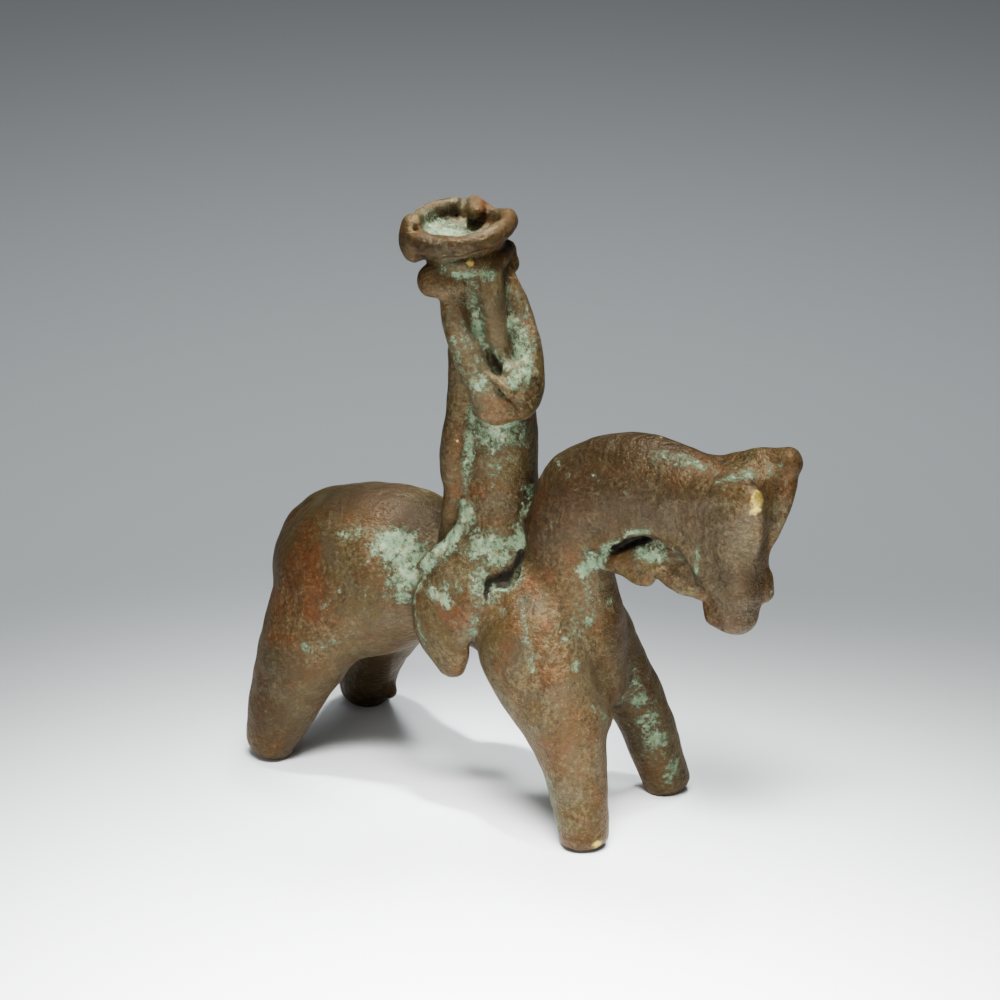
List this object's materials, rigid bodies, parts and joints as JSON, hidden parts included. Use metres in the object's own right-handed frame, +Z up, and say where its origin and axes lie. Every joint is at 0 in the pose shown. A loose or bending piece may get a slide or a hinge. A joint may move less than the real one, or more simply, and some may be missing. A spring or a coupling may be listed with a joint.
{
  "type": "equestrian statuette",
  "caption": "Small solid cast bronze horse with an upright rider whose head is an open rimmed bowl, standing on the horse's four feet.",
  "frame": {"origin": "on the ground, below the middle of the figure's bounding box", "axes": "+X the way the horse faces, +Y towards the horse's left side, +Z up"},
  "size_m": [0.0554, 0.02, 0.056],
  "materials": {
    "bronze": "worn brown patina with pale green verdigris in the hollows and bright metal on the worn edges"
  },
  "bodies": {
    "root": {"horse_and_rider": "bronze"}
  },
  "joints": []
}
